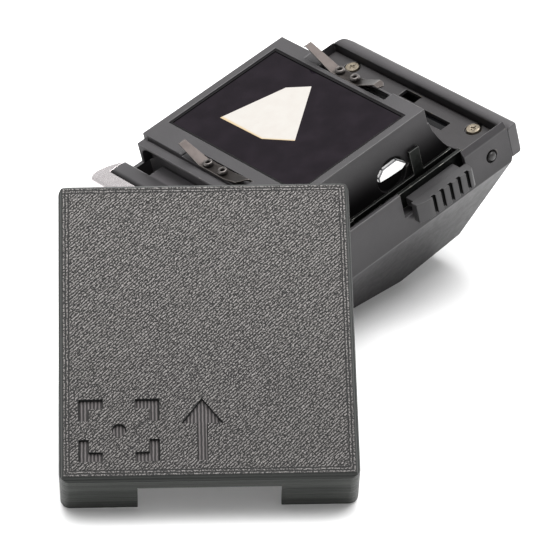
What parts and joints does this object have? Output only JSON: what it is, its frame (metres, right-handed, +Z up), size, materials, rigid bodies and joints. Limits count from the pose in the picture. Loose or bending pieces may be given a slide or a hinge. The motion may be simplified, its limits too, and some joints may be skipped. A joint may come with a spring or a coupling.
{
  "type": "camera pentaprism viewfinder with cap",
  "caption": "Interchangeable eye-level pentaprism finder lying on its roof with its glass window up, and its printed slip-on cap leaning against it.",
  "frame": {"origin": "centre of the bounding box on the surface that the finder and cap rest on", "axes": "+Z up, +Y away from the lower edge of the leaning cap, towards the finder's front; +X to the right as seen from the cap"},
  "size_m": [0.0858, 0.1264, 0.0432],
  "materials": {
    "black_paint": "satin black enamel, worn to metal in specks along the edges",
    "black_casting": "matt black enamel on a die casting",
    "black_plate": "matt black anodised sheet",
    "optical_glass": "polished",
    "dark_window": "polished, looks black with the dark prism box behind it",
    "black_mask": "matt black",
    "spring_steel": "brown oxidised spring steel",
    "polished_trim": "polished",
    "foam": "closed-cell foam",
    "rivet_steel": "dull rolled steel",
    "bright_screw": "nickel-plated, slightly worn",
    "black_screw": "black oxide",
    "white_window": "frosted white",
    "blackened_steel": "blackened, with bright worn edges",
    "black_plastic": "satin moulded plastic",
    "coil_steel": "bright wire",
    "printed_plastic": "dark grey printed plastic with visible raster and layer lines"
  },
  "bodies": {
    "finder": {"top_housing": "black_paint", "front_cover": "black_paint", "base_frame": "black_casting", "front_plate": "black_plate", "rear_deck": "black_paint", "rear_trim": "polished_trim", "pentaprism": "optical_glass", "condenser_window": "dark_window", "window_frame": "black_mask", "prism_retainer": "spring_steel", "prism_cushion": "foam", "eyepiece_barrel": "black_mask", "eye_lens": "optical_glass", "field_lens": "optical_glass", "eyepiece_ring": "black_plastic", "front_leaf_spring": "spring_steel", "rear_leaf_spring": "spring_steel", "front_spring_rivets": "rivet_steel", "rear_spring_rivets": "rivet_steel", "plate_screws": "bright_screw", "side_screws": "black_screw", "frame_screws": "bright_screw", "side_light_window": "white_window", "readout_prism": "optical_glass", "right_guide_rail": "blackened_steel", "left_guide_rail": "blackened_steel", "right_return_spring": "coil_steel", "left_return_spring": "coil_steel"},
    "right_slide": {"right_release_button": "black_plastic", "right_latch_bar": "blackened_steel"},
    "left_slide": {"left_release_button": "black_plastic", "left_latch_bar": "blackened_steel"},
    "cap": {"cap_shell": "printed_plastic"}
  },
  "joints": [
    {"name": "right_release", "type": "slide", "parent": "finder", "child": "right_slide", "axis": [-0.7345, -0.6273, -0.2588], "range_m": [0, 0.0025], "stiffness_N_per_m": 300, "springref_m": -0.0015, "deforming": ["right_return_spring"]},
    {"name": "left_release", "type": "slide", "parent": "finder", "child": "left_slide", "axis": [-0.7345, -0.6273, -0.2588], "range_m": [0, 0.0025], "stiffness_N_per_m": 300, "springref_m": -0.0015, "deforming": ["left_return_spring"]},
    {"name": "cap_lift", "type": "slide", "parent": "finder", "child": "cap", "axis": [0, 0, 1], "range_m": [0, 0.06]}
  ]
}
